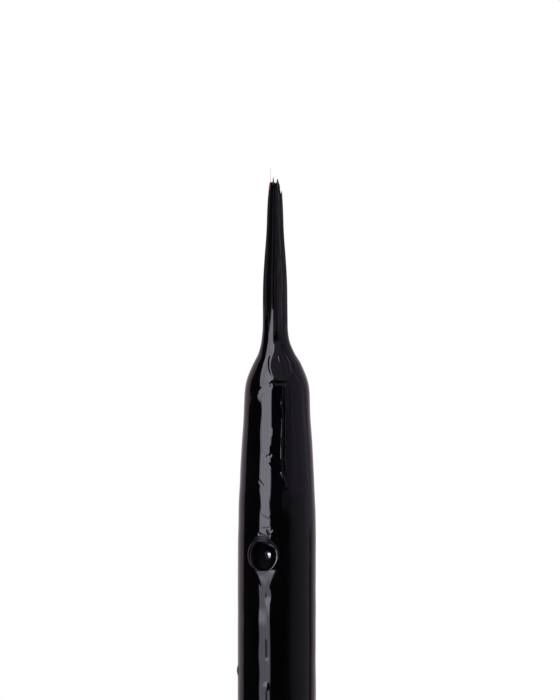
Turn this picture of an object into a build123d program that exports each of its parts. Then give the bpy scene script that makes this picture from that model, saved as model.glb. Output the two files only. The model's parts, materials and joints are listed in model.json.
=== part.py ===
"""A fine-line calligraphy brush: a lacquered handle with a sloping head and a slim, inked tuft.

The frame is in millimetres. The origin is at the centre of the handle's flat tail end, +Z runs up
the handle's axis to the tip of the hairs, and -Y is the front, where the pit in the ink lies.
The tuft bends at two places, each a ball in a socket: the foot, at the mouth of the neck sleeve,
and the waist, halfway up the hairs. Around each one the outside is open in a V, so that the upper
stretch can lean without touching the lower one.
"""
from build123d import *
import os
from math import cos, radians, sin, tan

# Lengths along the axis, measured up from the tail end.
TOTAL_LENGTH = 235.0
CAP_TOP = 12.0
BELLY_TOP = 170.5
TAPER_MID = 185.3
HEAD_SEAM = 199.6
HEAD_MID = 204.6
HEAD_TOP = 207.0
NECK_START = 209.8
MOUTH = 216.0
TUFT_MID = 222.0
HAIR_TOP = 231.2
POINT_TOP = 232.8

# Radii of the finished outside, ink included.
HANDLE_R = 6.0
TAPER_MID_R = 5.73
HEAD_SEAM_R = 5.0
HEAD_MID_R = 3.44
NECK_R = 1.87
MOUTH_R = 1.85
TUFT_MID_R = 1.54
WAIST_R = 1.3
HAIR_TOP_R = 0.95

# The ink over the handle, the thicker ink over the neck, and the thin film over the hairs.
COAT_T = 0.22
NECK_COAT_T = 0.4
FILM_T = 0.12

# Hollow handle, neck sleeve and the thin glue between them.
BARREL_BORE_R = 3.2
GLUE_T = 0.05
SPIGOT_L = 12.0
SLEEVE_R = MOUTH_R - NECK_COAT_T
SLEEVE_BORE_R = 1.2
SLEEVE_FOOT = 192.0

# Root of the tuft, glued and tied inside the sleeve.
ROOT_FOOT = 197.0
ROOT_R = SLEEVE_BORE_R - GLUE_T
ROSIN_L = 2.0
ROSIN_TOP = 207.0
CORE_R = 0.62
CORE_WAIST_R = 0.5
CORE_WISP_R = 0.385
CORE_TOP_R = 0.26
CORE_TIP_R = 0.05
CORE_TIE_Z = 203.0
ROOT_TIE_Z = 199.0
TIE_TURNS = 7
ROOT_THREAD_R = 0.1
CORE_THREAD_R = 0.06
TURN_PITCH = 2.1  # between turns of thread, in thread radii
THREAD_ROOM = 0.01

# The two bending places.
FOOT_Z = 217.6
FOOT_BALL_R = 1.15
FOOT_BEND = 25.0
WAIST_Z = 225.4
WAIST_BALL_R = 0.8
WAIST_BEND = 35.0
BALL_GAP = 0.05
SPARE_ANGLE = 2.0

# Tail cap with its cross hole for a hanging loop.
CAP_R = 5.7
CAP_FACE_R = 3.4
CAP_ROUND = 4.0
CAP_EDGE = (5.08, 1.69)  # where the rounded edge passes through, as radius and height
LOOP_HOLE_R = 1.0
LOOP_HOLE_Z = 7.0

# Pit in the front of the handle and the ink ring round it.
PIT_Z = 174.45
PIT_TURN = 21.0
PIT_BOWL_R = 2.9
PIT_DEPTH = 1.0
PIT_LINING_T = 0.4
RING_R = 2.3
RING_WIRE_R = 0.33
RING_SINK = 0.25

# Thick run of ink on the front of the head.
RUN_TOP = (0.35, -1.9, 206.0)
RUN_FOOT = (0.55, -3.15, 202.9)
RUN_TOP_R = 1.45
RUN_FOOT_R = 1.6

# Loose points at the end of the tuft: (x, y) at the root, (x, y) and z at the tip, root radius.
WISPS = (
    ((-0.45, -0.1), (-0.6, -0.12), 233.3, 0.2),
    ((0.5, 0.1), (0.45, 0.12), 232.4, 0.17),
    ((0.62, -0.2), (0.74, -0.2), 231.9, 0.15),
    ((0.05, 0.5), (0.02, 0.42), 232.7, 0.18),
)
WISP_ROOT_Z = 228.6
WISP_TIP_R = 0.03
STRAY_ROOT = (-0.72, 0.1, 228.6)
STRAY_TIP = (-1.02, 0.06, TOTAL_LENGTH)
STRAY_R = 0.06

FAR = 20.0


def turn(edges):
    """Solid turned about the axis from the closed outline of its right half."""
    return revolve(Plane.XZ * make_face(edges), Axis.Z)


def turn_points(*points):
    """Solid turned about the axis from straight lines between (radius, height) points."""
    return turn(Polyline(*points, close=True))


def column(radius, low, high):
    """Round bar on the axis between two heights."""
    return Pos(0, 0, low) * Cylinder(radius, high - low, align=(Align.CENTER, Align.CENTER, Align.MIN))


def tube(outer, inner, low, high):
    """Round tube on the axis between two heights."""
    return column(outer, low, high) - column(inner, low, high)


def brush_blank(inset):
    """The whole outside from the tail seam to the tuft's end, taken in by inset."""
    belly = (HANDLE_R - inset, BELLY_TOP)
    seam = (HEAD_SEAM_R - inset, HEAD_SEAM)
    neck = (NECK_R - inset, NECK_START)
    mouth = (MOUTH_R - inset, MOUTH)
    mid_belly = (TAPER_MID_R - inset, TAPER_MID)
    mid_head = (HEAD_MID_R - inset, HEAD_MID)
    mid_tuft = (TUFT_MID_R - inset, TUFT_MID)
    waist = (WAIST_R - inset, WAIST_Z)
    end = (HAIR_TOP_R - inset, HAIR_TOP)
    outline = Line((0, CAP_TOP), (HANDLE_R - inset, CAP_TOP))
    outline += Line((HANDLE_R - inset, CAP_TOP), belly)
    outline += Spline(belly, mid_belly, seam, tangents=[(0, 1), (-0.05, 1)])
    outline += Spline(seam, mid_head, neck, tangents=[(-0.1, 1), (0, 1)])
    outline += Line(neck, mouth)
    outline += Spline(mouth, mid_tuft, waist, end, tangents=[(0, 1), (-0.12, 1)])
    outline += Line(end, (0, HAIR_TOP))
    outline += Line((0, HAIR_TOP), (0, CAP_TOP))
    return turn(outline)


def half_gap(bend):
    """Half of the V left open round a bending place, in degrees."""
    return (bend + SPARE_ANGLE) / 2


def above(pivot_z, bend):
    """Everything above the V round a bending place."""
    rise = FAR * tan(radians(half_gap(bend)))
    top = TOTAL_LENGTH + FAR
    return turn_points((0, pivot_z), (FAR, pivot_z + rise), (FAR, top), (0, top))


def below(pivot_z, bend):
    """Everything below the V round a bending place."""
    drop = FAR * tan(radians(half_gap(bend)))
    return turn_points((0, pivot_z), (FAR, pivot_z - drop), (FAR, -FAR), (0, -FAR))


def ball(pivot_z, radius):
    """Ball centred on a bending place."""
    return Pos(0, 0, pivot_z) * Sphere(radius)


def rod_between(start, end, start_r, end_r):
    """Round rod that tapers from one point to another."""
    axis = Vector(*end) - Vector(*start)
    place = Plane(origin=start, z_dir=axis)
    return place * Cone(start_r, end_r, axis.length, align=(Align.CENTER, Align.CENTER, Align.MIN))


def pit_plane(distance):
    """Plane on the pit's own radius, facing outward, at a distance from the axis."""
    out = Vector(-sin(radians(PIT_TURN)), -cos(radians(PIT_TURN)), 0)
    return Plane(origin=out * distance + Vector(0, 0, PIT_Z), z_dir=out)


def pit_bowl(extra):
    """Bowl of the pit, grown by extra."""
    return pit_plane(HANDLE_R + PIT_BOWL_R - PIT_DEPTH) * Sphere(PIT_BOWL_R + extra)


def barrel():
    """Hollow bamboo barrel, drawn in towards the head and dented under the pit."""
    body = brush_blank(COAT_T) & column(FAR, CAP_TOP, HEAD_SEAM)
    body -= column(BARREL_BORE_R, CAP_TOP, HEAD_SEAM)
    return body - pit_bowl(PIT_LINING_T)


def head_ferrule():
    """Turned head with the sloping shoulder, its spigot in the barrel and its bore for the sleeve."""
    body = brush_blank(COAT_T) & column(FAR, HEAD_SEAM, HEAD_TOP)
    body += column(BARREL_BORE_R - GLUE_T, HEAD_SEAM - SPIGOT_L, HEAD_SEAM)
    return body - column(SLEEVE_R + GLUE_T, SLEEVE_FOOT, HEAD_TOP)


def ferrule_glue():
    """Glue round the head's spigot."""
    return tube(BARREL_BORE_R, BARREL_BORE_R - GLUE_T, HEAD_SEAM - SPIGOT_L, HEAD_SEAM)


def neck_sleeve():
    """Slim tube that holds the tuft, let into the head."""
    return tube(SLEEVE_R, SLEEVE_BORE_R, SLEEVE_FOOT, MOUTH)


def sleeve_glue():
    """Glue between the sleeve and the head's bore."""
    return tube(SLEEVE_R + GLUE_T, SLEEVE_R, SLEEVE_FOOT, HEAD_TOP)


def root_rosin():
    """Rosin that seals the cut ends of the hairs and rises round the root inside the sleeve."""
    plug = column(SLEEVE_BORE_R, ROOT_FOOT - ROSIN_L, ROOT_FOOT)
    return plug + tube(SLEEVE_BORE_R, ROOT_R, ROOT_FOOT, ROSIN_TOP)


def windings(base_z, radius, thread_r):
    """Thread wound side by side round the hairs, one ring for each turn."""
    turns = []
    for i in range(TIE_TURNS):
        turns.append(Pos(0, 0, base_z + thread_r * (1 + TURN_PITCH * i)) * Torus(radius, thread_r))
    return Compound(children=turns)


def tie_groove(base_z, outer, inner, thread_r):
    """Room for the windings in the hairs round them."""
    height = thread_r * (2 + TURN_PITCH * (TIE_TURNS - 1))
    return tube(outer, inner, base_z - THREAD_ROOM, base_z + height + THREAD_ROOM)


def root_thread():
    """Outer tie, wound in a waist of the root."""
    return windings(ROOT_TIE_Z, ROOT_R - ROOT_THREAD_R - THREAD_ROOM, ROOT_THREAD_R)


def core_thread():
    """Inner tie, which holds the core hairs before the outer hairs are laid round them."""
    return windings(CORE_TIE_Z, CORE_R + CORE_THREAD_R + THREAD_ROOM, CORE_THREAD_R)


def core_root():
    """Core hairs from the rosin to the foot's socket."""
    return column(CORE_R, ROOT_FOOT, FOOT_Z) - ball(FOOT_Z, FOOT_BALL_R + BALL_GAP)


def mantle_root():
    """Outer hairs round the core, from the rosin to just past the sleeve's mouth."""
    body = column(ROOT_R, ROOT_FOOT, MOUTH)
    body += brush_blank(NECK_COAT_T) & column(FAR, MOUTH, FOOT_Z) & below(FOOT_Z, FOOT_BEND)
    body -= column(CORE_R, ROOT_FOOT, FOOT_Z)
    body -= ball(FOOT_Z, FOOT_BALL_R + BALL_GAP)
    root_waist_r = ROOT_R - 2 * (ROOT_THREAD_R + THREAD_ROOM)
    core_tie_r = CORE_R + 2 * (CORE_THREAD_R + THREAD_ROOM)
    body -= tie_groove(ROOT_TIE_Z, FAR, root_waist_r, ROOT_THREAD_R)
    return body - tie_groove(CORE_TIE_Z, core_tie_r, CORE_R - CORE_THREAD_R, CORE_THREAD_R)


def core_belly():
    """Core hairs from the foot's ball to the waist's socket."""
    body = column(CORE_R, FOOT_Z, WAIST_Z) + ball(FOOT_Z, FOOT_BALL_R)
    return body - ball(WAIST_Z, WAIST_BALL_R + BALL_GAP)


def tuft_stretch(inset, low_z, low_bend, high_z, high_bend):
    """Outside of the hairs between two bending places."""
    return brush_blank(inset) & above(low_z, low_bend) & below(high_z, high_bend)


def mantle_belly():
    """Outer hairs between the foot and the waist."""
    body = tuft_stretch(FILM_T, FOOT_Z, FOOT_BEND, WAIST_Z, WAIST_BEND)
    body -= ball(FOOT_Z, FOOT_BALL_R) + column(CORE_R, FOOT_Z, WAIST_Z)
    return body - ball(WAIST_Z, WAIST_BALL_R + BALL_GAP)


def ink_film_belly():
    """Ink on the hairs between the foot and the waist."""
    body = tuft_stretch(0, FOOT_Z, FOOT_BEND, WAIST_Z, WAIST_BEND)
    return body - brush_blank(FILM_T)


def wisp(root, tip, tip_z, root_r):
    """One loose point of hairs."""
    return rod_between((*root, WISP_ROOT_Z), (*tip, tip_z), root_r, WISP_TIP_R)


def wisps():
    """Points of hairs that stand out from the end of the tuft."""
    return Compound(children=[wisp(*row) for row in WISPS])


def stray_hair():
    """One long hair that stands past the point."""
    return rod_between(STRAY_ROOT, STRAY_TIP, STRAY_R, WISP_TIP_R)


def loose_hairs():
    """All that stands out of the end of the tuft, to clear the hairs and ink round it."""
    body = stray_hair()
    for row in WISPS:
        body += wisp(*row)
    return body


def core_point():
    """Longest, finest hairs, from the waist's ball to the point."""
    taper = (
        (0, WAIST_Z), (CORE_WAIST_R, WAIST_Z), (CORE_WISP_R, WISP_ROOT_Z), (CORE_TOP_R, HAIR_TOP),
        (CORE_TIP_R, POINT_TOP), (0, POINT_TOP),
    )
    return (turn_points(*taper) + ball(WAIST_Z, WAIST_BALL_R)) - loose_hairs()


def mantle_point():
    """Outer hairs above the waist."""
    body = brush_blank(FILM_T) & above(WAIST_Z, WAIST_BEND)
    return body - core_point() - loose_hairs()


def ink_film_point():
    """Ink on the hairs above the waist."""
    return (brush_blank(0) & above(WAIST_Z, WAIST_BEND)) - brush_blank(FILM_T) - loose_hairs()


def thick_run():
    """Run of ink on the front of the head, round at both ends."""
    body = Pos(*RUN_TOP) * Sphere(RUN_TOP_R) + Pos(*RUN_FOOT) * Sphere(RUN_FOOT_R)
    return body + rod_between(RUN_TOP, RUN_FOOT, RUN_TOP_R, RUN_FOOT_R)


def under_ink():
    """All that the coat of ink lies on, from the barrel to the foot of the tuft."""
    body = brush_blank(COAT_T) & column(FAR, CAP_TOP, HEAD_TOP)
    body += column(SLEEVE_R, HEAD_TOP, MOUTH)
    return body + (brush_blank(NECK_COAT_T) & column(FAR, MOUTH, FOOT_Z))


def ink_coat():
    """Ink over the barrel, head, sleeve and foot of the tuft, with its ring, lined pit and run."""
    body = brush_blank(0) & below(FOOT_Z, FOOT_BEND)
    body += pit_plane(HANDLE_R - RING_SINK) * Torus(RING_R, RING_WIRE_R)
    body += thick_run()
    body -= pit_bowl(0)
    body -= under_ink() - pit_bowl(PIT_LINING_T)
    return body - ball(FOOT_Z, FOOT_BALL_R + BALL_GAP)


def tail_cap():
    """Turned horn cap with a flat end, its spigot in the barrel and the loop's cross hole."""
    edge = ThreePointArc((CAP_FACE_R, 0), CAP_EDGE, (CAP_R, CAP_ROUND))
    outline = Line((0, 0), (CAP_FACE_R, 0)) + edge
    outline += Line((CAP_R, CAP_ROUND), (CAP_R, CAP_TOP)) + Line((CAP_R, CAP_TOP), (0, CAP_TOP))
    outline += Line((0, CAP_TOP), (0, 0))
    body = turn(outline) + column(BARREL_BORE_R - GLUE_T, CAP_TOP, CAP_TOP + SPIGOT_L)
    hole = Pos(0, 0, LOOP_HOLE_Z) * Rot(0, 90, 0) * Cylinder(LOOP_HOLE_R, 4 * CAP_R)
    return body - hole


def tail_glue():
    """Glue round the cap's spigot."""
    return tube(BARREL_BORE_R, BARREL_BORE_R - GLUE_T, CAP_TOP, CAP_TOP + SPIGOT_L)


PIECES = (
    barrel, head_ferrule, ferrule_glue, neck_sleeve, sleeve_glue, root_rosin, root_thread, core_thread,
    core_root, mantle_root, core_belly, mantle_belly, ink_film_belly, core_point, mantle_point,
    ink_film_point, wisps, stray_hair, ink_coat, tail_cap, tail_glue,
)

os.makedirs("parts", exist_ok=True)
for piece in PIECES:
    export_step(piece(), f"parts/{piece.__name__}.step")
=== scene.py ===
"""Looks of the calligraphy brush: its wet ink coat, inked tuft and hidden pieces, in the CAD frame."""
import json
import bpy
import numpy as np
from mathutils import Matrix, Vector


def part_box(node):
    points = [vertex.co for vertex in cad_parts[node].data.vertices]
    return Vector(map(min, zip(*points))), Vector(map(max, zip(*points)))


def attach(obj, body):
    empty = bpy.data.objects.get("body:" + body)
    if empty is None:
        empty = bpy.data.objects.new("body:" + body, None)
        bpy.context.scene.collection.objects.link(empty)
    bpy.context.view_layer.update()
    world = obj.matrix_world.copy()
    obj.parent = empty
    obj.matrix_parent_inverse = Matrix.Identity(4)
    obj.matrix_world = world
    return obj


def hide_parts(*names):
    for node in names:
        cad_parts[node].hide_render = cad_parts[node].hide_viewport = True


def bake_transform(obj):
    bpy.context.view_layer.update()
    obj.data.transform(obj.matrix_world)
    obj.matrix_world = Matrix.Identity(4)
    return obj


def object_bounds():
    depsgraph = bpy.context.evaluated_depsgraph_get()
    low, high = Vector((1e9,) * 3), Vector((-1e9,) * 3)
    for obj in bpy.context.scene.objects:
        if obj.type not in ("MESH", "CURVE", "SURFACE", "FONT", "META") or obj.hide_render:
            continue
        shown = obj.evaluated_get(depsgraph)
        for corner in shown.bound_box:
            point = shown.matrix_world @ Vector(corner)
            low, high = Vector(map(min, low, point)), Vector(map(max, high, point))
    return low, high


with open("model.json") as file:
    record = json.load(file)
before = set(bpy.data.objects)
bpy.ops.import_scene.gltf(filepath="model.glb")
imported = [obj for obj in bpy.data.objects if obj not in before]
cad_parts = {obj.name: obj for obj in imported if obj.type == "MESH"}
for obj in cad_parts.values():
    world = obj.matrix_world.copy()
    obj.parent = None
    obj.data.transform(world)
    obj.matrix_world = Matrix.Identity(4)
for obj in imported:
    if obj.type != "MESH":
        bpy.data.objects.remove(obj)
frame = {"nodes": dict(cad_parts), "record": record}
CAD_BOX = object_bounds()
MM = 0.001
rng = np.random.default_rng(7)


def low(node):
    """Lowest corner of a CAD node in millimetres."""
    return [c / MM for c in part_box(node)[0]]


def high(node):
    """Highest corner of a CAD node in millimetres."""
    return [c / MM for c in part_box(node)[1]]


def pivot_height(name):
    """Height of a joint's pivot in millimetres."""
    joint = next(j for j in frame["record"]["behaviour"]["joints"] if j["name"] == name)
    return joint["pos_m"][2] / MM


# Heights and radii of the object, in millimetres, from the CAD.
CAP_TOP = low("ink_coat")[2]
HANDLE_R = high("ink_coat")[0]
COAT_T = HANDLE_R - high("barrel")[0]
SEAM_Z = high("barrel")[2]
SEAM_R = high("head_ferrule")[0] + COAT_T
HEAD_TOP = high("head_ferrule")[2]
MOUTH_Z = high("neck_sleeve")[2]
NECK_COAT_T = 0.42
COAT_SWELL = 0.15
NECK_R = high("neck_sleeve")[0] + NECK_COAT_T
FOOT_Z = pivot_height("tuft_lean")
WAIST_Z = pivot_height("tip_bend")
HAIR_TOP = high("ink_film_point")[2]
TIP_Z = high("stray_hair")[2]

# Where each bend starts and ends, and the join of the two skins between the bends.
FOOT_BEND = (FOOT_Z - 2.6, FOOT_Z + 2.6)
WAIST_BEND = (WAIST_Z - 2.4, WAIST_Z + 3.0)
SKIN_JOIN = (FOOT_BEND[1] + WAIST_BEND[0]) / 2

# Where the coat's mesh changes its spacing: foot of the finer stretch, the pit, the neck.
FINE_FROM = 148
PIT_ROWS = (171, 178)
NECK_ROWS = 210
# Angles between which its columns are closest, in degrees from the front.
FINE_TURN = (-52, 28)

# The pit in the front of the handle: angle from the front, height, half width, half height, depth.
PIT_TURN = np.radians(-20.4)
PIT_Z = 174.33
PIT_W = 1.97
PIT_H = 2.33
PIT_DEPTH = 0.95
# The swollen ring round it, off its centre: angle, height, half width, half height, rise.
RING_TURN = np.radians(-22.0)
RING_Z = 174.52
RING_W = 2.62
RING_H = 2.56
RING_RISE = 0.27
# The wet stretch at the right of the pit's rim: height of its middle, and half its length.
WET_Z = PIT_Z - 0.4
WET_HALF = 1.4
# The film of ink across the top of the pit: which way it lies from the centre and how far.
FILM_WAY = (0.317, 0.948)
FILM_FAR = 1.78
# The web of ink that hangs from the ring: x, top and foot heights, half widths there.
WEB_X = -1.72
WEB_Z = (172.1, 169.4)
WEB_W = (1.5, 0.45)

# Outline of the handle: (millimetres below the seam, radius lost since the straight barrel).
TAPER = ((29.1, 0.0), (24.4, 0.01), (19.9, 0.06), (14.3, 0.26), (8.6, 0.54), (3.0, 0.89), (1.1, 0.955))
# Outline of the head: (share of its length, share of the radius it loses that is still there).
HEAD_SHAPE = (
    (0.0, 1.0), (0.112, 0.975), (0.236, 0.923), (0.622, 0.578), (0.87, 0.27), (1.131, 0.085), (1.4, 0.02),
)
# Outline of the tuft: (share of the way from the mouth to the end of the ink, share of the neck's radius).
TUFT_SHAPE = (
    (0.0, 1.0), (0.1, 0.973), (0.3, 0.881), (0.51, 0.751), (0.61, 0.703), (0.82, 0.643), (0.92, 0.6),
    (1.0, 0.545),
)


def through(points):
    """Smooth curve through (position, value) points that never overshoots them."""
    x, y = (np.array(v, float) for v in zip(*points))
    step, rise = np.diff(x), np.diff(y)
    chord = rise / step
    slope = np.zeros(len(x))
    for i in range(1, len(x) - 1):
        if chord[i - 1] * chord[i] > 0:
            before, after = 2 * step[i] + step[i - 1], step[i] + 2 * step[i - 1]
            slope[i] = (before + after) / (before / chord[i - 1] + after / chord[i])
    slope[0], slope[-1] = chord[0], chord[-1]

    def value(at):
        i = np.clip(np.searchsorted(x, at) - 1, 0, len(step) - 1)
        t = np.clip((at - x[i]) / step[i], 0, 1)
        ends = y[i] * (1 + 2 * t) * (1 - t) ** 2 + y[i + 1] * t**2 * (3 - 2 * t)
        return ends + step[i] * (slope[i] * t * (1 - t) ** 2 + slope[i + 1] * t**2 * (t - 1))

    return value


def outline_points():
    """(height, radius) points of the whole outside, from the tail seam to the end of the ink."""
    points = [(CAP_TOP, HANDLE_R), (SEAM_Z - 60, HANDLE_R)]
    points += [(SEAM_Z - below, HANDLE_R - lost) for below, lost in TAPER]
    head = HEAD_TOP - SEAM_Z
    points += [(SEAM_Z + share * head, NECK_R + left * (SEAM_R - NECK_R)) for share, left in HEAD_SHAPE]
    tuft = HAIR_TOP - MOUTH_Z
    points += [(MOUTH_Z + share * tuft, NECK_R * left) for share, left in TUFT_SHAPE]
    return points


outline = through(outline_points())
# The neck and the tuft stand a little to the left of the handle's axis.
lean = through((
    (CAP_TOP, 0), (SEAM_Z - 40, -0.055), (SEAM_Z - 22, -0.02), (SEAM_Z + 4.5, 0), (HEAD_TOP + 1.8, -0.28),
    (MOUTH_Z, -0.31), (HAIR_TOP, -0.3), (TIP_Z, -0.42),
))


# The ragged end as seen from the front: height of the hairs at each x.
RAGGED = through((
    (-1.32, 231.2), (-1.26, 231.9), (-1.06, 232.85), (-0.9, 232.75), (-0.74, 232.75), (-0.58, 233.55),
    (-0.44, 232.8), (-0.22, 232.6), (-0.1, 232.8), (0.06, 233.3), (0.22, 232.8), (0.41, 232.15),
    (0.47, 231.4), (0.51, 231.02), (0.62, 231.0), (0.7, 231.42), (0.76, 231.0),
))
# Length over which the end of the tuft is pressed flat.
FLATTEN = 3.4
# Heights between which the wet ink of the neck gives way to inked hair.
HAIR_LOOK = (208.2, 210.4)
# How far that change runs up and down from hair to hair.
HAIR_EDGE = 2.2
# How much higher the tongue of wet ink reaches.
TONGUE = 5.2


def ramp(value, start, end):
    """Smooth rise from 0 at start to 1 at end."""
    t = np.clip((value - start) / (end - start), 0, 1)
    return t * t * (3 - 2 * t)


def angle_at(x, z):
    """Angle from the front of a point seen x to the right of the axis from the front."""
    return np.arcsin(np.clip((x - lean(z)) / outline(z), -1, 1))


def across(turn, x, z):
    """Distance round the surface from a point seen at x, z from the front."""
    away = (turn - angle_at(x, z) + np.pi) % (2 * np.pi) - np.pi
    return away * outline(z)


def mound(turn, z, x0, z0, half_w, half_h, rise, edge, tilt=0.0):
    """Flat-topped mound of ink with a rounded edge."""
    side = across(turn, x0, z0) + tilt * (z - z0)
    far = np.hypot(side / half_w, (z - z0) / half_h)
    return rise / (1 + np.exp(np.clip((far - 1) / edge, -40, 40)))


def lobe(turn, z):
    """Run of ink with a front that is flatter than the head under it."""
    x0, z0, half_w, half_h, tilt, rise, flat, edge = LOBE
    side = across(turn, x0, z) + tilt * (z - z0)
    far = np.hypot(side / half_w, (z - z0) / half_h)
    return (rise + flat * (side**2 - 0.3)) / (1 + np.exp(np.clip((far - 1) / edge, -40, 40)))


def crease(turn, z, start, end, width, rise):
    """Raised or sunken line between two points seen from the front, which fades at its ends."""
    mid_x, mid_z = (start[0] + end[0]) / 2, (start[1] + end[1]) / 2
    side, up = across(turn, mid_x, mid_z), z - mid_z
    run = np.array([end[0] - start[0], end[1] - start[1]])
    length = np.hypot(*run)
    along = (side * run[0] + up * run[1]) / length
    away = (-side * run[1] + up * run[0]) / length
    past = np.maximum(np.abs(along) - length / 2, 0)
    return rise * np.exp(-(away**2 + past**2) / (2 * width**2))


# Thick runs and drips seen from the front: x, z, half width, half height, rise, edge, tilt.
MOUNDS = (
    (-0.33, 206.9, 0.26, 0.28, 0.06, 0.25, 0.0),
    (-3.35, 198.8, 0.6, 1.0, 0.11, 0.35, 0.0),
    (-0.62, 193.6, 0.3, 0.4, 0.05, 0.3, 0.0),
    (-1.45, 190.6, 0.55, 0.8, 0.03, 0.2, 0.0),
    (-2.5, 185.9, 0.4, 0.45, 0.035, 0.3, 0.0),
    (-1.9, 182.6, 0.7, 1.6, 0.02, 0.2, 0.1),
    (-1.45, 168.2, 0.3, 0.8, -0.05, 0.3, 0.0),
    (-1.2, 165.6, 0.3, 1.3, 0.02, 0.3, 0.0),
    (-1.75, 154.0, 0.3, 0.45, 0.05, 0.3, 0.0),
    (2.9, 193.0, 0.7, 3.4, 0.035, 0.25, -0.1),
    (3.6, 189.0, 0.5, 2.6, 0.03, 0.25, 0.0),
)
# The lobe of ink on the front of the head: x, z, half width, half height, tilt, rise, how flat, edge.
LOBE = (0.4, 203.75, 1.62, 2.6, 0.12, 0.06, 0.085, 0.05)
# Wrinkles and fine runs seen from the front: start, end, width, rise.
CREASES = (
    ((0.15, 205.4), (0.35, 202.4), 0.13, -0.048),
    ((0.85, 205.6), (1.15, 202.3), 0.14, -0.065),
    ((0.75, 187.2), (1.35, 185.2), 0.12, 0.09),
    ((0.8, 184.9), (0.85, 172.5), 0.11, 0.035),
    ((1.35, 185.2), (0.95, 185.0), 0.12, 0.05),
    ((-2.9, 199.9), (-0.6, 201.9), 0.13, 0.05),
    ((-2.6, 199.3), (-0.9, 200.7), 0.12, -0.04),
    ((-0.2, 201.25), (3.4, 201.1), 0.14, -0.05),
    ((-1.5, 189.85), (-1.0, 190.0), 0.11, -0.06),
    ((-1.6, 188.9), (-0.9, 188.2), 0.14, 0.025),
    ((-2.65, 185.9), (-2.1, 185.35), 0.1, -0.05),
    ((-2.2, 180.9), (-1.0, 180.3), 0.1, 0.02),
    ((-2.3, 178.6), (-1.2, 178.7), 0.1, -0.02),
    ((-2.75, 177.75), (-1.75, 177.45), 0.1, -0.08),
    ((-1.5, 178.3), (-1.2, 177.6), 0.09, -0.08),
    ((-0.95, 177.9), (-0.55, 178.25), 0.09, 0.07),
    ((-1.6, 161.4), (-1.55, 158.6), 0.1, -0.05),
    ((-1.5, 154.6), (-1.6, 153.4), 0.1, 0.05),
    ((-1.55, 153.4), (-1.5, 150.6), 0.1, -0.05),
    ((1.46, 206.1), (2.14, 203.9), 0.12, -0.1),
    ((2.14, 203.9), (3.27, 202.7), 0.12, -0.09),
    ((2.03, 203.9), (3.5, 201.6), 0.12, -0.09),
    ((2.5, 199.5), (3.0, 187.0), 0.25, -0.03),
    ((4.15, 200.4), (4.3, 194.6), 0.22, -0.04),
    ((1.75, 200.6), (1.9, 197.0), 0.12, -0.035),
    ((2.2, 198.4), (2.1, 193.5), 0.12, 0.02),
    ((3.9, 198.0), (4.3, 186.0), 0.2, 0.03),
    ((4.6, 197.0), (4.75, 184.0), 0.16, -0.03),
    ((-0.75, 224.0), (-0.75, 213.0), 0.06, 0.03),
    ((0.75, 223.5), (0.9, 216.0), 0.07, 0.02),
)
# The two thin runs down the front of the head: x, top and foot heights, rise.
RUNS = ((0.72, 201.0, 187.4, 0.058), (1.2, 200.6, 188.0, 0.062))
# The small nub on the left edge of the handle: x, z, half width, half height, rise, edge.
NUB = (-5.99, 156.1, 0.35, 0.6, 0.2, 0.3)
# How many slow waves the coat has, and how many runs and wrinkles round its sides and back.
WAVE_COUNT = 22
DRIP_COUNT = 46


def waves():
    """Slow unevenness of the coat: (times round, waves per millimetre, phase, height)."""
    rows = []
    for _ in range(WAVE_COUNT):
        times = int(rng.integers(1, 9))
        per_mm = rng.uniform(0.03, 0.2)
        rows.append((times, per_mm * rng.choice((-1, 1)), rng.uniform(0, 2 * np.pi), 0.01 / (1 + times)))
    return rows


def drips():
    """Runs and wrinkles round the sides and back: (angle, height, half width, half height, rise, edge)."""
    rows = []
    for _ in range(DRIP_COUNT):
        turn = rng.uniform(np.radians(75), np.radians(285))
        z = rng.uniform(CAP_TOP + 6, SEAM_Z + 4)
        rows.append((turn, z, rng.uniform(0.25, 0.9), rng.uniform(0.6, 4.5), rng.uniform(-0.03, 0.07), 0.28))
    return rows


def runs():
    """The thin runs down the head, each a string of short creases that wander a little."""
    rows = []
    for x, top, foot, rise in RUNS:
        z, side = top, 0.0
        while z > foot:
            below = z - rng.uniform(0.6, 1.5)
            away = rng.uniform(-0.09, 0.09)
            width = rng.uniform(0.07, 0.11)
            rows.append(((x + side, z), (x + away, below), width, rise * rng.uniform(0.7, 1.1)))
            z, side = below - 0.2, away
    return rows


WAVES = waves()
DRIPS = drips()
RUN_CREASES = runs()


def relief_of_coat(turn, z):
    """How far the ink stands out from the smooth outline of the handle."""
    thick = np.clip(outline(z) / HANDLE_R, 0, 1) * ramp(z, CAP_TOP, CAP_TOP + 2)
    out = np.zeros_like(turn)
    for times, per_mm, phase, height in WAVES:
        out += height * np.cos(times * turn + 2 * np.pi * per_mm * z + phase)
    out = (out + COAT_SWELL) * thick
    for x, z0, half_w, half_h, rise, edge, tilt in MOUNDS:
        out += mound(turn, z, x, z0, half_w, half_h, rise, edge, tilt)
    out += lobe(turn, z)
    for start, end, width, rise in CREASES + tuple(RUN_CREASES):
        out += crease(turn, z, start, end, width, rise)
    for drip_turn, z0, half_w, half_h, rise, edge in DRIPS:
        side = ((turn - drip_turn + np.pi) % (2 * np.pi) - np.pi) * HANDLE_R
        far = np.hypot(side / half_w, (z - z0) / half_h)
        out += rise / (1 + np.exp(np.clip((far - 1) / edge, -40, 40)))
    out += mound(turn, z, *NUB)
    return out


def off_angle(turn, middle):
    """Distance round the handle from an angle."""
    return ((turn - middle + np.pi) % (2 * np.pi) - np.pi) * HANDLE_R


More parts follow.
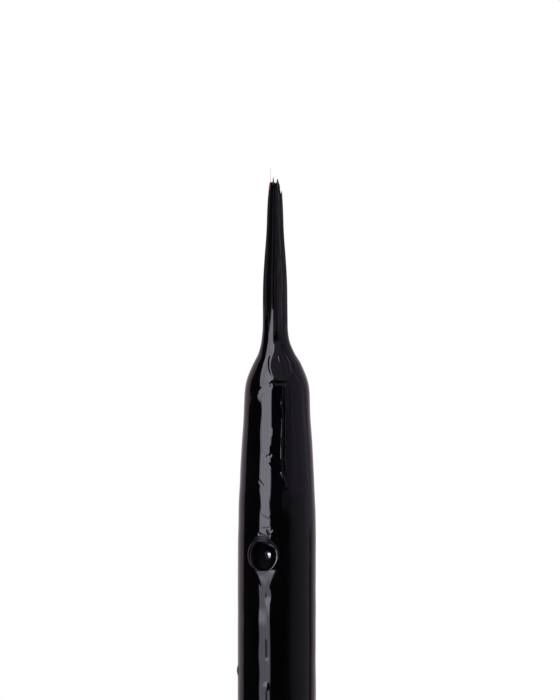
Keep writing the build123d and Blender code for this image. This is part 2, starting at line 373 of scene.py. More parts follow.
def in_pit(turn, z):
    """Share of the way from the middle of the pit to its rim, and how far the film covers it."""
    side, up = off_angle(turn, PIT_TURN), z - PIT_Z
    film = side * FILM_WAY[0] + up * FILM_WAY[1]
    return np.hypot(side / PIT_W, up / PIT_H), ramp(film, FILM_FAR - 0.12, FILM_FAR + 0.12)


def ring_share(turn, z):
    """Share of the way from the middle of the ring to its outer edge."""
    return np.hypot(off_angle(turn, RING_TURN) / RING_W, (z - RING_Z) / RING_H)


def web(turn, z):
    """Flat web of ink below the ring, between two low ridges that close to a V."""
    fall = np.clip((WEB_Z[0] - z) / (WEB_Z[0] - WEB_Z[1]), 0, 1)
    half = WEB_W[0] + (WEB_W[1] - WEB_W[0]) * fall
    side = np.abs(across(turn, WEB_X, z))
    rise = np.minimum(side, half) ** 2 / (2 * HANDLE_R) * np.exp(-(np.maximum(side - half, 0) / 0.16) ** 2)
    return rise * ramp(z, WEB_Z[1] - 1.2, WEB_Z[1] + 1.2) * (1 - ramp(z, WEB_Z[0] - 0.3, WEB_Z[0] + 0.5))


def pit(turn, z, out):
    """The coat's relief with the pit, its ring and the web below it worked in."""
    far, film = in_pit(turn, z)
    ring_far = ring_share(turn, z)
    right = ramp(off_angle(turn, PIT_TURN), 0.6, 1.6)
    rise = RING_RISE * (1 - 0.45 * right)
    outer = 1 - ramp(ring_far, 0.84 + 0.06 * right, 1.05)
    inner = ramp(far, 0.82 + 0.14 * right, 1.12 + 0.08 * right)
    ring = rise * outer * inner
    bowl = (PIT_DEPTH + COAT_SWELL) * np.sqrt(np.clip(1 - far**2, 0, 1)) * (1 - film)
    calm = ramp(ring_far, 0.95, 1.35)
    level = (out - COAT_SWELL) * calm + COAT_SWELL
    return level + ring - bowl + 0.1 * film * (1 - ramp(ring_far, 0.84, 1.05)) + web(turn, z)


# Waves that make the clumps of hair round the tuft, broad and fine.
LOCKS_ROUND = 13
FINE_ROUND = 19


def relief_of_hair(turn, z):
    """Clumps of wet hair, as round ridges with narrow grooves between them."""
    grows = ramp(z, MOUTH_Z - 3, WAIST_Z + 3)
    drift = 0.25 * np.sin(z * 0.45 + 1.0) + 0.12 * np.sin(z * 1.1)
    broad = np.abs(np.sin(LOCKS_ROUND * (turn + 0.1 * drift) / 2 + 0.4 * drift)) ** 0.6 - 0.7
    fine = np.abs(np.sin(FINE_ROUND * (turn - 0.06 * drift) + 1.3)) ** 0.7 - 0.6
    return grows * (0.045 * broad + 0.014 * fine)


def surface(turn, z):
    """Points of the ink's outside in metres, for arrays of angle and height."""
    out = pit(turn, z, relief_of_coat(turn, z)) + relief_of_hair(turn, z)
    radius = outline(z) + out
    x = lean(z) + radius * np.sin(turn)
    y = -radius * np.cos(turn)
    return np.stack([x, y, z], axis=-1) * MM


def angles():
    """Angles of the skin's columns, closest together where the front is worked most."""
    start, end = FINE_TURN
    fine = np.linspace(np.radians(start), np.radians(end), 120, endpoint=False)
    coarse = np.linspace(np.radians(end), np.radians(start + 360), 130, endpoint=False)
    return np.concatenate([fine, coarse])


def new_object(name, verts, faces, materials, smooth=True):
    """Mesh object from points in metres."""
    mesh = bpy.data.meshes.new(name)
    mesh.from_pydata([tuple(v) for v in verts], [], faces)
    mesh.validate()
    for material in materials:
        mesh.materials.append(material)
    mesh.polygons.foreach_set("use_smooth", [smooth] * len(mesh.polygons))
    unbent = mesh.attributes.new("unbent_place", "FLOAT_VECTOR", "POINT")
    unbent.data.foreach_set("vector", np.array([tuple(v) for v in verts], np.float32).ravel())
    piece = bpy.data.objects.new(name, mesh)
    bpy.context.scene.collection.objects.link(piece)
    return piece


def grid_skin(name, points, materials, zipped=False):
    """Closed skin from rings of points, capped at both ends or with its top zipped front to back."""
    rows, columns = points.shape[:2]
    verts = points.reshape(-1, 3)
    faces = []
    for i in range(rows - 1):
        for j in range(columns):
            k = (j + 1) % columns
            faces.append((i * columns + j, i * columns + k, (i + 1) * columns + k, (i + 1) * columns + j))
    foot, top = len(verts), len(verts) + 1
    ends = np.stack([points[0].mean(0), points[-1].mean(0)])
    last = (rows - 1) * columns
    for j in range(columns):
        k = (j + 1) % columns
        faces.append((foot, k, j))
        if not zipped:
            faces.append((top, last + j, last + k))
    if not zipped:
        return new_object(name, np.concatenate([verts, ends]), faces, materials)
    for j in range(-columns // 4, columns // 4):
        front = (last + j % columns, last + (j + 1) % columns)
        back = (last + (columns // 2 - j - 1) % columns, last + (columns // 2 - j) % columns)
        faces.append(tuple(dict.fromkeys(front + back)))
    return new_object(name, np.concatenate([verts, ends[:1]]), faces, materials)


def steps(*stretches):
    """Heights along the axis: (from, to, spacing) stretches end to end."""
    parts = [np.arange(a, b, gap) for a, b, gap in stretches]
    return np.append(np.concatenate(parts), stretches[-1][1])


# ---------------------------------------------------------------- materials


def grey(value, tint=(1, 1, 1)):
    """Colour of a brightness and a tint."""
    return tuple(value * c for c in tint)


def node_material(name, bends=False):
    """New material, its nodes, its shader and its coordinates, which stay unbent on a piece that bends."""
    material = bpy.data.materials.new(name)
    material.use_nodes = True
    tree = material.node_tree
    shader = tree.nodes["Principled BSDF"]
    if bends:
        unbent = tree.nodes.new("ShaderNodeAttribute")
        unbent.attribute_name = "unbent_place"
        return material, tree, shader, unbent.outputs["Vector"]
    coords = tree.nodes.new("ShaderNodeTexCoord")
    return material, tree, shader, coords.outputs["Object"]


def noise(tree, vector, scale, detail=4.0, rough=0.55):
    """Noise over object coordinates in metres."""
    node = tree.nodes.new("ShaderNodeTexNoise")
    node.inputs["Scale"].default_value = scale
    node.inputs["Detail"].default_value = detail
    node.inputs["Roughness"].default_value = rough
    tree.links.new(vector, node.inputs["Vector"])
    return node.outputs["Fac"]


def stretched(tree, vector, scale):
    """Object coordinates scaled unevenly, for grain that runs one way."""
    node = tree.nodes.new("ShaderNodeMapping")
    node.inputs["Scale"].default_value = scale
    tree.links.new(vector, node.inputs["Vector"])
    return node.outputs["Vector"]


def colours(tree, factor, *stops):
    """Colour ramp of (position, colour) stops."""
    node = tree.nodes.new("ShaderNodeValToRGB")
    while len(node.color_ramp.elements) < len(stops):
        node.color_ramp.elements.new(0.5)
    for element, (place, colour) in zip(node.color_ramp.elements, stops):
        element.position = place
        element.color = (*colour, 1)
    tree.links.new(factor, node.inputs["Fac"])
    return node.outputs["Color"]


def spread(tree, factor, least, most):
    """Factor taken to a range."""
    node = tree.nodes.new("ShaderNodeMapRange")
    node.inputs["To Min"].default_value = least
    node.inputs["To Max"].default_value = most
    tree.links.new(factor, node.inputs["Value"])
    return node.outputs["Result"]


def bumped(tree, shader, factor, strength, distance):
    """Fine relief on the shader."""
    node = tree.nodes.new("ShaderNodeBump")
    node.inputs["Strength"].default_value = strength
    node.inputs["Distance"].default_value = distance
    tree.links.new(factor, node.inputs["Height"])
    tree.links.new(node.outputs["Normal"], shader.inputs["Normal"])


def grained(name, dark, light, grain, roughness, scale, strength=0.3, distance=2e-5):
    """Material with a lengthwise or even grain between two colours."""
    material, tree, shader, place = node_material(name)
    pattern = noise(tree, stretched(tree, place, grain), scale, 6.0, 0.6)
    tree.links.new(colours(tree, pattern, (0.3, dark), (0.7, light)), shader.inputs["Base Color"])
    tree.links.new(spread(tree, pattern, *roughness), shader.inputs["Roughness"])
    bumped(tree, shader, pattern, strength, distance)
    return material


def combine(tree, operation, first, second):
    """Two colours or numbers put together by a vector operation."""
    node = tree.nodes.new("ShaderNodeVectorMath")
    node.operation = operation
    tree.links.new(first, node.inputs[0])
    tree.links.new(second, node.inputs[1])
    return node.outputs["Vector"]


def ink_look(name, bends=False):
    """Thick wet black ink: nearly black, very smooth, with slow changes of gloss."""
    material, tree, shader, place = node_material(name, bends)
    slow = noise(tree, stretched(tree, place, (1, 1, 0.4)), 260, 3.0)
    tint = colours(tree, slow, (0.35, (0.0005, 0.0006, 0.0009)), (0.7, (0.0014, 0.0013, 0.0018)))
    gloss = spread(tree, slow, 0.03, 0.07)
    bumped(tree, shader, noise(tree, place, 900, 3.0), 0.1, 1.0e-5)
    return material, tree, shader, place, tint, gloss


def ink_material():
    """The ink of the handle."""
    material, tree, shader, _, tint, gloss = ink_look("wet_ink")
    tree.links.new(tint, shader.inputs["Base Color"])
    tree.links.new(gloss, shader.inputs["Roughness"])
    return material


def along(tree, value, low_mm, high_mm):
    """Share of the way of a coordinate between two distances in millimetres."""
    node = tree.nodes.new("ShaderNodeMapRange")
    node.inputs["From Min"].default_value = low_mm * MM
    node.inputs["From Max"].default_value = high_mm * MM
    tree.links.new(value, node.inputs["Value"])
    return node.outputs["Result"]


def number(tree, operation, *values):
    """Arithmetic on sockets and plain numbers."""
    node = tree.nodes.new("ShaderNodeMath")
    node.operation = operation
    for socket, value in zip(node.inputs, values):
        if isinstance(value, (int, float)):
            socket.default_value = value
        else:
            tree.links.new(value, socket)
    return node.outputs["Value"]


def tuft_share(tree, x, z):
    """Place across the tuft, 0 at its left edge and 1 at its right, from shader sockets in metres."""
    taper = (NECK_R - outline(HAIR_TOP)) / (HAIR_TOP - MOUTH_Z)
    radius = number(tree, "MULTIPLY_ADD", z, -taper, (NECK_R + taper * MOUTH_Z) * MM)
    radius = number(tree, "MINIMUM", radius, NECK_R * MM)
    side = number(tree, "DIVIDE", number(tree, "SUBTRACT", x, lean(WAIST_Z) * MM), radius)
    return number(tree, "MULTIPLY_ADD", side, 0.5, 0.5)


def by_share(*rows):
    """Ramp stops from (place across, brightness) rows, from -1 at the tuft's left edge to 1 at its right."""
    return [((share + 1) / 2, grey(bright)) for share, bright in rows]


# How far up the tongue of wet ink reaches across the tuft.
TONGUE_ACROSS = ((-1, 0.6), (-0.62, 0.5), (-0.46, 0.0), (-0.2, 1), (-0.13, 0.1), (1, 0.1))
# Painted light and shade across the tuft, as (place across, brightness): dark bands of painted shade at the
# left and in a groove between locks, thin light lines and edges of painted highlight, and a lighter right
# side of painted sheen, all set into the hairs' colour.
PAINTED_LIGHT_ACROSS = (
    (-1, 0.03), (-0.76, 0.022), (-0.68, 0.0004), (-0.37, 0.0003), (-0.3, 0.021), (-0.25, 0.019),
    (-0.19, 0.0004), (-0.13, 0.0006), (-0.05, 0.013), (0.1, 0.011), (0.3, 0.023), (0.5, 0.032),
    (0.56, 0.055), (0.68, 0.016), (0.85, 0.034), (1, 0.05),
)


def inked_hair_material():
    """The ink of the neck, which turns into dull inked hair with a tongue of wet ink running up it; the
    hair's colour carries painted light and shade across the tuft.
    """
    material, tree, shader, place, tint, gloss = ink_look("inked_hair_and_painted_light", bends=True)
    split = tree.nodes.new("ShaderNodeSeparateXYZ")
    tree.links.new(place, split.inputs["Vector"])
    x, z = split.outputs["X"], split.outputs["Z"]
    share = tuft_share(tree, x, z)
    tongue = colours(tree, share, *by_share(*TONGUE_ACROSS))
    strand = noise(tree, stretched(tree, place, (1, 1, 0.04)), 5200, 3.0)
    lowered = number(tree, "SUBTRACT", z, HAIR_EDGE * MM)
    ragged = number(tree, "MULTIPLY_ADD", strand, 2 * HAIR_EDGE * MM, lowered)
    lifted = number(tree, "MULTIPLY_ADD", tongue, -TONGUE * MM, ragged)
    hairy = along(tree, lifted, *HAIR_LOOK)
    # Painted shade and painted sheen across the tuft, in the hair's base colour.
    painted_light = colours(tree, share, *by_share(*PAINTED_LIGHT_ACROSS))
    # Streaks along the hairs in the lilac of the studio's light, which tint the painted sheen.
    streaks = colours(tree, strand, (0.35, grey(0.35, LILAC)), (0.65, grey(1.0, LILAC)))
    hair = combine(tree, "MULTIPLY", combine(tree, "MULTIPLY", painted_light, streaks), hairy)
    tree.links.new(combine(tree, "ADD", hair, tint), shader.inputs["Base Color"])
    tree.links.new(spread(tree, hairy, 0.5, 0.012), shader.inputs["Specular IOR Level"])
    tree.links.new(number(tree, "MULTIPLY_ADD", hairy, 0.42, gloss), shader.inputs["Roughness"])
    return material


def ring_material():
    """Ink of the pit's ring, set to a satin skin."""
    material, tree, shader, _, tint, gloss = ink_look("set_ink")
    tree.links.new(tint, shader.inputs["Base Color"])
    tree.links.new(number(tree, "ADD", gloss, 0.28), shader.inputs["Roughness"])
    shader.inputs["Specular IOR Level"].default_value = 0.18
    return material


def shiny_ink_material(name, refraction, level):
    """Ink that is still wet enough to shine like glass."""
    material, tree, shader, _, tint, gloss = ink_look(name)
    tree.links.new(tint, shader.inputs["Base Color"])
    tree.links.new(gloss, shader.inputs["Roughness"])
    shader.inputs["IOR"].default_value = refraction
    shader.inputs["Specular IOR Level"].default_value = level
    return material


def dull_ink_material():
    """Ink that has dried dull inside the pit."""
    material, tree, shader, place = node_material("dry_ink")
    pattern = noise(tree, place, 1500, 5.0)
    tint = colours(tree, pattern, (0.3, (0.0005, 0.0005, 0.0006)), (0.7, (0.0016, 0.0012, 0.0013)))
    tree.links.new(tint, shader.inputs["Base Color"])
    tree.links.new(spread(tree, pattern, 0.4, 0.6), shader.inputs["Roughness"])
    shader.inputs["Specular IOR Level"].default_value = 0.02
    bumped(tree, shader, pattern, 0.3, 2e-5)
    return material


def hair_material(name, root, tip, start, end, roughness):
    """Inked hair that shows its own reddish brown towards its end."""
    material, tree, shader, place = node_material(name, bends=True)
    split = tree.nodes.new("ShaderNodeSeparateXYZ")
    tree.links.new(place, split.inputs["Vector"])
    strand = noise(tree, stretched(tree, place, (1, 1, 0.05)), 9000, 2.0)
    shifted = number(tree, "MULTIPLY_ADD", strand, 1.2 * MM, split.outputs["Z"])
    tint = colours(tree, along(tree, shifted, start, end), (0.0, root), (1.0, tip))
    tree.links.new(tint, shader.inputs["Base Color"])
    tree.links.new(spread(tree, strand, *roughness), shader.inputs["Roughness"])
    bumped(tree, shader, strand, 0.35, 8e-6)
    return material


# Tints of the studio's light; LILAC also tints the painted sheen of the inked hair.
LILAC = (0.88, 0.79, 1.0)
MAUVE = (1.0, 0.84, 0.97)
INK = ink_material()
# Inked hair of the neck and tuft, its colour carrying painted light and shade.
HAIR_INK_AND_PAINTED_LIGHT = inked_hair_material()
RING_INK = ring_material()
BEAD_INK = shiny_ink_material("wet_bead", 2.2, 1.0)
RIM_INK = shiny_ink_material("wet_rim", 1.8, 0.5)
DRY_INK = dull_ink_material()
HAIR_ROOT = (0.0015, 0.0012, 0.0016)
STRAY_ROOT = (0.05, 0.012, 0.01)
SATIN = (0.3, 0.5)
LOCK_HAIR = hair_material("inked_hair", HAIR_ROOT, (0.06, 0.014, 0.01), HAIR_TOP + 0.8, TIP_Z - 1.2, SATIN)
RIM_HAIR = hair_material("rim_hair", HAIR_ROOT, (0.42, 0.12, 0.09), HAIR_TOP - 0.4, TIP_Z - 1.6, SATIN)
STRAY_HAIR = hair_material("bare_hair", STRAY_ROOT, (0.62, 0.30, 0.27), HAIR_TOP, TIP_Z - 0.6, SATIN)

SLOT_LOOKS = {
    "bamboo": grained("bamboo", (0.36, 0.22, 0.09), (0.66, 0.49, 0.27), (1, 1, 0.06), (0.35, 0.55), 2600),
    "head_wood": grained("head_wood", (0.11, 0.045, 0.02), (0.3, 0.15, 0.07), (1, 1, 0.12), (0.4, 0.6), 1500),
    "black_horn": grained(
        "black_horn", (0.002, 0.0018, 0.002), (0.012, 0.009, 0.008), (1, 1, 0.15), (0.08, 0.2), 500,
        0.15, 1e-5,
    ),
    "hide_glue": grained("hide_glue", (0.42, 0.25, 0.07), (0.72, 0.52, 0.22), (1, 1, 1), (0.15, 0.35), 1800),
    "rosin": grained("rosin", (0.25, 0.09, 0.015), (0.55, 0.27, 0.06), (1, 1, 1), (0.1, 0.3), 1400),
    "silk_thread": grained(
        "silk_thread", (0.55, 0.47, 0.33), (0.86, 0.8, 0.66), (1, 1, 6), (0.45, 0.7), 5000, 0.6, 3e-5,
    ),
    "core_hair": grained(
        "core_hair", (0.14, 0.04, 0.018), (0.42, 0.17, 0.08), (1, 1, 0.03), (0.35, 0.55), 9000, 0.5, 2e-5,
    ),
    "mantle_hair": grained(
        "mantle_hair", (0.06, 0.02, 0.012), (0.28, 0.1, 0.05), (1, 1, 0.03), (0.35, 0.55), 9000, 0.5, 2e-5,
    ),
    "ink": INK,
}


def dress_cad():
    """Gives every CAD node that stays the finish of its slot."""
    slots = {row["node"]: row["material_slot"] for row in frame["record"]["subparts"]}
    for name, node in frame["nodes"].items():
        node.data.materials.clear()
        node.data.materials.append(SLOT_LOOKS[slots[name]])


# ---------------------------------------------------------------- pieces


def coat_skin():
    """The ink over the handle and the foot of the tuft."""
    heights = steps(
        (CAP_TOP + 0.02, CAP_TOP + 3, 0.25), (CAP_TOP + 3, FINE_FROM, 1.0), (FINE_FROM, PIT_ROWS[0], 0.16),
        (PIT_ROWS[0], PIT_ROWS[1], 0.09), (PIT_ROWS[1], NECK_ROWS, 0.14), (NECK_ROWS, SKIN_JOIN, 0.2),
    )
    turns = angles()
    turn, z = np.meshgrid(turns, heights)
    points = surface(turn, z)
    skin = grid_skin("ink_coat_skin", points, [INK, DRY_INK, HAIR_INK_AND_PAINTED_LIGHT, RING_INK, RIM_INK])
    finish_coat(skin, turn, z)
    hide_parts("ink_coat")
    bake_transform(skin)


def finish_coat(skin, turn, z):
    """Dry ink in the pit, satin ink on its ring, wet ink at the ring's right, inked hair with painted light
    and shade from the neck up.
    """
    far, film = in_pit(turn, z)
    right = ramp(off_angle(turn, PIT_TURN), 0.0, 1.2)
    inside = (far < 0.97 - 0.07 * right) & (film < 0.5)
    satin_to = 1.02 + 0.16 * ramp(z, RING_Z + 2.2, RING_Z + 2.6)
    ring = (ring_share(turn, z) < satin_to) & ~inside & (right < 0.9)
    wet = (off_angle(turn, PIT_TURN) > 1.2) & (far > 0.98) & (far < 1.14)
    wet &= np.abs(z - WET_Z) < WET_HALF
    hairy = z > HAIR_LOOK[0] - HAIR_EDGE
    rows, columns = turn.shape
    index = np.zeros(len(skin.data.polygons), np.int32)
    index[: (rows - 1) * columns] = (inside + 2 * hairy + 3 * ring + 4 * wet)[:-1].ravel()
    skin.data.polygons.foreach_set("material_index", index)


def to_the_rim(turn, z):
    """Skin of the tuft with its end drawn out to the ragged rim and pressed flat there."""
    start = HAIR_TOP - FLATTEN
    share = np.clip((z - start) / FLATTEN, 0, 1)
    rim = RAGGED(lean(HAIR_TOP) + outline(HAIR_TOP) * np.sin(turn))
    points = surface(turn, z)
    points[..., 1] *= 1 - 0.96 * share**2
    points[..., 2] += (rim - HAIR_TOP) * share**1.5 * MM
    return points


def tuft_skin():
    """The inked hairs from the join of the skins to the ragged end."""
    heights = steps((SKIN_JOIN - 0.5, HAIR_TOP - 1.2, 0.12), (HAIR_TOP - 1.2, HAIR_TOP, 0.06))
    turns = np.linspace(0, 2 * np.pi, 280, endpoint=False)
    turn, z = np.meshgrid(turns, heights)
    points = to_the_rim(turn, z)
    tuck = 1 - 0.03 * (1 - ramp(z, SKIN_JOIN - 0.5, SKIN_JOIN))
    axis = np.stack([lean(z), 0 * z, z], axis=-1) * MM
    inside = z < SKIN_JOIN
    points[inside] = (axis + (points - axis) * tuck[..., None])[inside]
    skin = grid_skin("tuft_skin", points, [HAIR_INK_AND_PAINTED_LIGHT], zipped=True)
    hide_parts("ink_film_belly", "ink_film_point", "mantle_belly", "mantle_point")
    bend_tuft(skin)


def bend_tuft(piece):
    """Bakes the placement of a piece of the tuft into its mesh."""
    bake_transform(piece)


def tapered_tube(path, radii, sides):
    """Verts and faces of a closed round tube along points in millimetres."""
    verts, faces = [], []
    round_ = np.linspace(0, 2 * np.pi, sides, endpoint=False)
    for i, (point, radius) in enumerate(zip(path, radii)):
        ahead = Vector(path[min(i + 1, len(path) - 1)]) - Vector(path[max(i - 1, 0)])
        turn = ahead.to_track_quat("Z", "Y")
        for a in round_:
            verts.append((Vector(point) + turn @ Vector((radius * np.cos(a), radius * np.sin(a), 0))) * MM)
    for i in range(len(path) - 1):
        for j in range(sides):
            k = (j + 1) % sides
            faces.append((i * sides + j, i * sides + k, (i + 1) * sides + k, (i + 1) * sides + j))
    faces.append(tuple(reversed(range(sides))))
    faces.append(tuple((len(path) - 1) * sides + j for j in range(sides)))
    return verts, faces


def join_tubes(name, tubes, materials):
    """One object from several tubes."""
    verts, faces = [], []
    for tube_verts, tube_faces in tubes:
        faces += [tuple(len(verts) + i for i in face) for face in tube_faces]
        verts += [tuple(v) for v in tube_verts]
    return new_object(name, verts, faces, materials)


# Clumps and single hairs at the ragged end.
LOCK_COUNT = 18
FINE_HAIR_COUNT = 60


def lock(turn, inset, past, thick, foot):
    """One clump of hairs inside the tuft that comes out past its rim."""
    heights = np.linspace(foot, HAIR_TOP, 24)
    share = np.clip((heights - HAIR_TOP + FLATTEN) / FLATTEN, 0, 1)
    radius = outline(heights) - inset
    x = lean(heights) + radius * np.sin(turn)
    y = -radius * np.cos(turn) * (1 - 0.97 * share**2)
    z = heights + (RAGGED(x[-1]) + past - HAIR_TOP) * share**1.5
    radii = thick * np.clip((heights - foot) * 2, 0.1, 1) * np.clip((1 - share) * 5, 0.15, 1) ** 0.8
    return tapered_tube(np.stack([x, y, z], axis=-1), radii, 7)


def tuft_locks():
    """Clumps of hairs that thicken the ragged end."""
    tubes = []
    for i in range(LOCK_COUNT):
        turn = 2 * np.pi * (i + rng.uniform(-0.3, 0.3)) / LOCK_COUNT
        past = rng.uniform(-0.3, 0.12)
        inset = rng.uniform(0.1, 0.4)
        thick = rng.uniform(0.04, 0.075)
        tubes.append(lock(turn, inset, past, thick, WAIST_Z + rng.uniform(1, 3)))
    piece = join_tubes("tuft_locks", tubes, [LOCK_HAIR])
    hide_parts("wisps")
    bend_tuft(piece)


def fine_hairs():
    """Single hairs that stand a little past the rim."""
    tubes = []
    for _ in range(FINE_HAIR_COUNT):
        turn = rng.uniform(0, 2 * np.pi)
        past = rng.uniform(-0.15, 0.2)
        inset = rng.uniform(0.04, 0.2)
        thick = rng.uniform(0.016, 0.026)
        tubes.append(lock(turn, inset, past, thick, HAIR_TOP - rng.uniform(1, 3)))
    piece = join_tubes("fine_hairs", tubes, [RIM_HAIR])
    bend_tuft(piece)


def stray_hair():
    """The one long hair at the left."""
    heights = np.linspace(WAIST_Z + 3.5, TIP_Z, 40)
    rise = (heights - heights[0]) / (TIP_Z - heights[0])
    x = -1.3 + 0.24 * ramp(rise, 0.0, 0.65) + 0.05 * np.sin(rise * 9)
    y = -0.35 + 0.2 * rise
    radii = 0.052 * (1 - 0.55 * rise)
    strand = tapered_tube(np.stack([x, y, heights], -1), radii, 8)
    piece = join_tubes("stray_hair_strand", [strand], [STRAY_HAIR])
    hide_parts("stray_hair")
    bend_tuft(piece)


def low_bead(centre, out, side, radius, depth):
    """Verts and faces of a low round bead, points in millimetres."""
    rings, sides = 12, 36
    verts, faces = [], []
    for i in range(rings):
        share = i / (rings - 1)
        far = radius * (1 - share) + 0.001
        height = depth * (1 - (1 - share) ** 2)
        for a in np.linspace(0, 2 * np.pi, sides, endpoint=False):
            spot = side * far * np.cos(a) + Vector((0, 0, far * np.sin(a)))
            verts.append((centre + spot + out * height) * MM)
    for i in range(rings - 1):
        for j in range(sides):
            k = (j + 1) % sides
            faces.append((i * sides + j, i * sides + k, (i + 1) * sides + k, (i + 1) * sides + j))
    faces.append(tuple(reversed(range(sides))))
    faces.append(tuple((rings - 1) * sides + j for j in range(sides)))
    return verts, faces


def pit_drop():
    """Bead of ink that is still wet inside the pit, on a wider damp patch."""
    out = Vector((np.sin(PIT_TURN), -np.cos(PIT_TURN), 0))
    side = Vector((np.cos(PIT_TURN), np.sin(PIT_TURN), 0))
    centre = out * (HANDLE_R - PIT_DEPTH) + side * 0.6 + Vector((0, 0, PIT_Z + 0.12))
    patch = low_bead(centre + out * 0.02, out, side, 0.85, 0.1)
    bead = low_bead(centre + out * 0.1, out, side, 0.4, 0.06)
    piece = join_tubes("pit_drop", [patch, bead], [RING_INK, BEAD_INK])
    for polygon in piece.data.polygons:
        polygon.material_index = int(polygon.index >= len(patch[1]))
    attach(piece, "handle")


# ---------------------------------------------------------------- studio


def floor():
    """Small pale floor under the brush."""
    sides = 96
    turns = np.linspace(0, 2 * np.pi, sides, endpoint=False)
    verts = [(0.5 * np.cos(a), 0.5 * np.sin(a), -0.0005) for a in turns]
    material, tree, shader, place = node_material("studio_floor")
    tint = colours(tree, noise(tree, place, 30), (0.3, (0.82, 0.82, 0.82)), (0.7, (0.83, 0.83, 0.83)))
    tree.links.new(tint, shader.inputs["Base Color"])
    shader.inputs["Roughness"].default_value = 0.9
    piece = new_object("studio_floor", verts, [tuple(range(sides))], [material])
    piece.visible_glossy = False


def turn_and_rise(tree, direction):
    """Azimuth of a world direction, 0 at the front and positive to the right, and how far up it points."""
    split = tree.nodes.new("ShaderNodeSeparateXYZ")
    tree.links.new(direction, split.inputs["Vector"])
    front = number(tree, "MULTIPLY", split.outputs["Y"], -1)
    turn = number(tree, "ARCTAN2", split.outputs["X"], front)
    return turn, number(tree, "ARCSINE", split.outputs["Z"])


def angle_ramp(tree, angle, low_deg, high_deg, stops):
    """Ramp over an angle in radians, from (degrees, brightness) stops."""
    span = tree.nodes.new("ShaderNodeMapRange")
    span.inputs["From Min"].default_value = np.radians(low_deg)
    span.inputs["From Max"].default_value = np.radians(high_deg)
    tree.links.new(angle, span.inputs["Value"])
    rows = [((deg - low_deg) / (high_deg - low_deg), bright) for deg, bright in stops]
    return colours(tree, span.outputs["Result"], *rows)


def leaning(tree, turn, up):
    """Azimuth that falls behind with height, for a softbox whose left edge leans outward."""
    node = tree.nodes.new("ShaderNodeMapRange")
    node.inputs["From Max"].default_value = np.radians(47)
    node.inputs["To Max"].default_value = np.radians(34)
    tree.links.new(up, node.inputs["Value"])
    return number(tree, "ADD", turn, node.outputs["Result"])


def window(tree, angle, low_deg, high_deg, edge):
    """White between two angles and black outside, with soft edges."""
    rows = ((low_deg - edge, grey(0)), (low_deg, grey(1)), (high_deg, grey(1)), (high_deg + edge, grey(0)))
    return angle_ramp(tree, angle, -180, 180, rows)


def scaled(tree, colour, tint):
    """Colour times a constant colour, whose parts may pass 1."""
    node = tree.nodes.new("ShaderNodeVectorMath")
    node.operation = "MULTIPLY"
    node.inputs[1].default_value = tint
    tree.links.new(colour, node.inputs[0])
    return node.outputs["Vector"]


# What gloss shows round the brush, as (degrees from the front, brightness), and how it dims low down.
FLANKS = (
    (-180, grey(0.2, MAUVE)), (-146, grey(0.125, MAUVE)), (-118, grey(0.09, MAUVE)), (-113, grey(0.004)),
    (-60, grey(0.002)), (24, grey(0.0015)), (34, grey(0.006, LILAC)), (43, grey(0.022, LILAC)),
    (56, grey(0.04, LILAC)), (85, grey(0.06, LILAC)), (103, grey(0.075, LILAC)), (124, grey(0.07, LILAC)),
    (131, grey(0.075, MAUVE)), (142, grey(0.1, MAUVE)), (180, grey(0.17, MAUVE)),
)
LOW_DIM = ((-90, grey(0.3)), (-30, grey(0.8)), (-10, grey(1)), (90, grey(1)))
# A weaker panel at the right, above the level of the handle's lower end.
PANEL = ((18, grey(0)), (26, grey(1)), (50, grey(0.8)), (100, grey(0)))
# The softbox at the left: its edges in degrees from the front, its tint, and its brightness over
# (degrees up) and across (degrees from the front).
BOX_TURN = (-52.0, -21.0)
BOX_TINT = (0.92, 0.87, 1.02)
BOX_HEIGHTS = (
    (-90, grey(0.2)), (-30, grey(0.4)), (-4.7, grey(0.5)), (-3.6, grey(1.0)), (60, grey(1.0)),
    (90, grey(0.5)),
)
BOX_ACROSS = (
    (-90, grey(0.9)), (-53, grey(0.75)), (-48, grey(1.0)), (-44, grey(0.82)), (-39, grey(1.0)),
    (-34, grey(0.84)), (-28, grey(1.0)), (-22, grey(0.85)), (60, grey(0.9)),
)


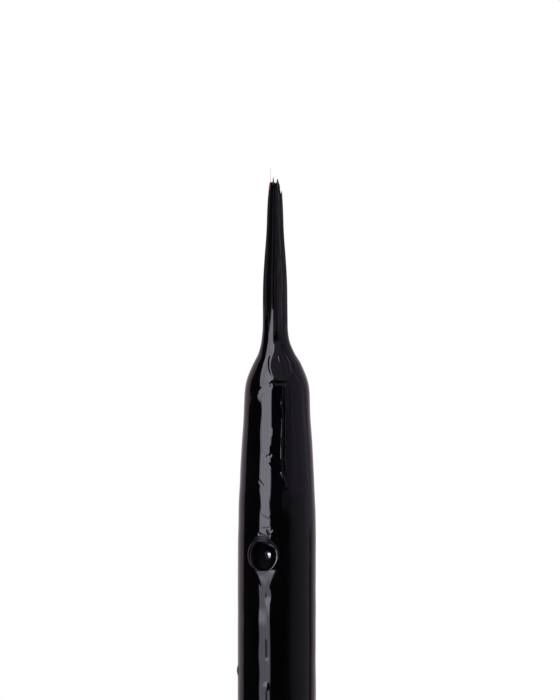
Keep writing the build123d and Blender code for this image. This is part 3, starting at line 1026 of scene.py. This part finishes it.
def studio():
    """White all round, with softboxes and reflectors that only gloss shows."""
    world = bpy.data.worlds.new("studio")
    bpy.context.scene.world = world
    world.use_nodes = True
    tree = world.node_tree
    tree.nodes.clear()
    coords = tree.nodes.new("ShaderNodeTexCoord")
    turn, up = turn_and_rise(tree, coords.outputs["Generated"])
    flanks = angle_ramp(tree, turn, -180, 180, FLANKS)
    flanks = combine(tree, "MULTIPLY", flanks, angle_ramp(tree, up, -90, 90, LOW_DIM))
    left = window(tree, leaning(tree, turn, up), BOX_TURN[0], 60, 2)
    right = window(tree, turn, -110, BOX_TURN[1], 2)
    box = combine(tree, "MULTIPLY", left, right)
    box = combine(tree, "MULTIPLY", box, angle_ramp(tree, up, -90, 90, BOX_HEIGHTS))
    box = combine(tree, "MULTIPLY", box, angle_ramp(tree, turn, -180, 180, BOX_ACROSS))
    top = combine(tree, "MULTIPLY", window(tree, turn, -30, 30, 25), window(tree, up, 30, 80, 12))
    panel = angle_ramp(tree, turn, -180, 180, PANEL)
    panel = combine(tree, "MULTIPLY", panel, window(tree, up, 1.4, 30, 0.8))
    line = combine(tree, "MULTIPLY", window(tree, turn, 113, 122, 4), window(tree, up, -14, -3.3, 0.9))
    light = combine(tree, "ADD", flanks, scaled(tree, box, BOX_TINT))
    light = combine(tree, "ADD", light, scaled(tree, top, grey(0.075, LILAC)))
    light = combine(tree, "ADD", light, scaled(tree, panel, grey(0.028, LILAC)))
    light = combine(tree, "ADD", light, scaled(tree, line, (-0.04, -0.04, -0.062)))
    gloss = tree.nodes.new("ShaderNodeBackground")
    gloss.inputs["Strength"].default_value = 4.6
    tree.links.new(light, gloss.inputs["Color"])
    plain = tree.nodes.new("ShaderNodeBackground")
    plain.inputs["Color"].default_value = (1, 1, 1, 1)
    plain.inputs["Strength"].default_value = 1.0
    path = tree.nodes.new("ShaderNodeLightPath")
    mix = tree.nodes.new("ShaderNodeMixShader")
    out = tree.nodes.new("ShaderNodeOutputWorld")
    tree.links.new(path.outputs["Is Glossy Ray"], mix.inputs["Fac"])
    tree.links.new(plain.outputs["Background"], mix.inputs[1])
    tree.links.new(gloss.outputs["Background"], mix.inputs[2])
    tree.links.new(mix.outputs["Shader"], out.inputs["Surface"])


def camera():
    """Long lens straight at the front, level with the head of the brush."""
    shown_height = 0.11006
    white_above = 0.0264
    right_of_axis = 0.00046
    lens = 150.0
    sensor = 36.0
    data = bpy.data.cameras.new("camera")
    data.lens = lens
    data.sensor_width = sensor
    data.clip_start = 0.01
    view = bpy.data.objects.new("camera", data)
    bpy.context.scene.collection.objects.link(view)
    away = shown_height * lens / sensor
    view.location = (right_of_axis, -away, CAD_BOX[1][2] + white_above - shown_height / 2)
    view.rotation_euler = (np.pi / 2, 0, 0)
    bpy.context.scene.camera = view


bpy.context.scene.view_settings.view_transform = "Standard"
dress_cad()
coat_skin()
tuft_skin()
tuft_locks()
fine_hairs()
stray_hair()
pit_drop()
floor()
studio()
camera()
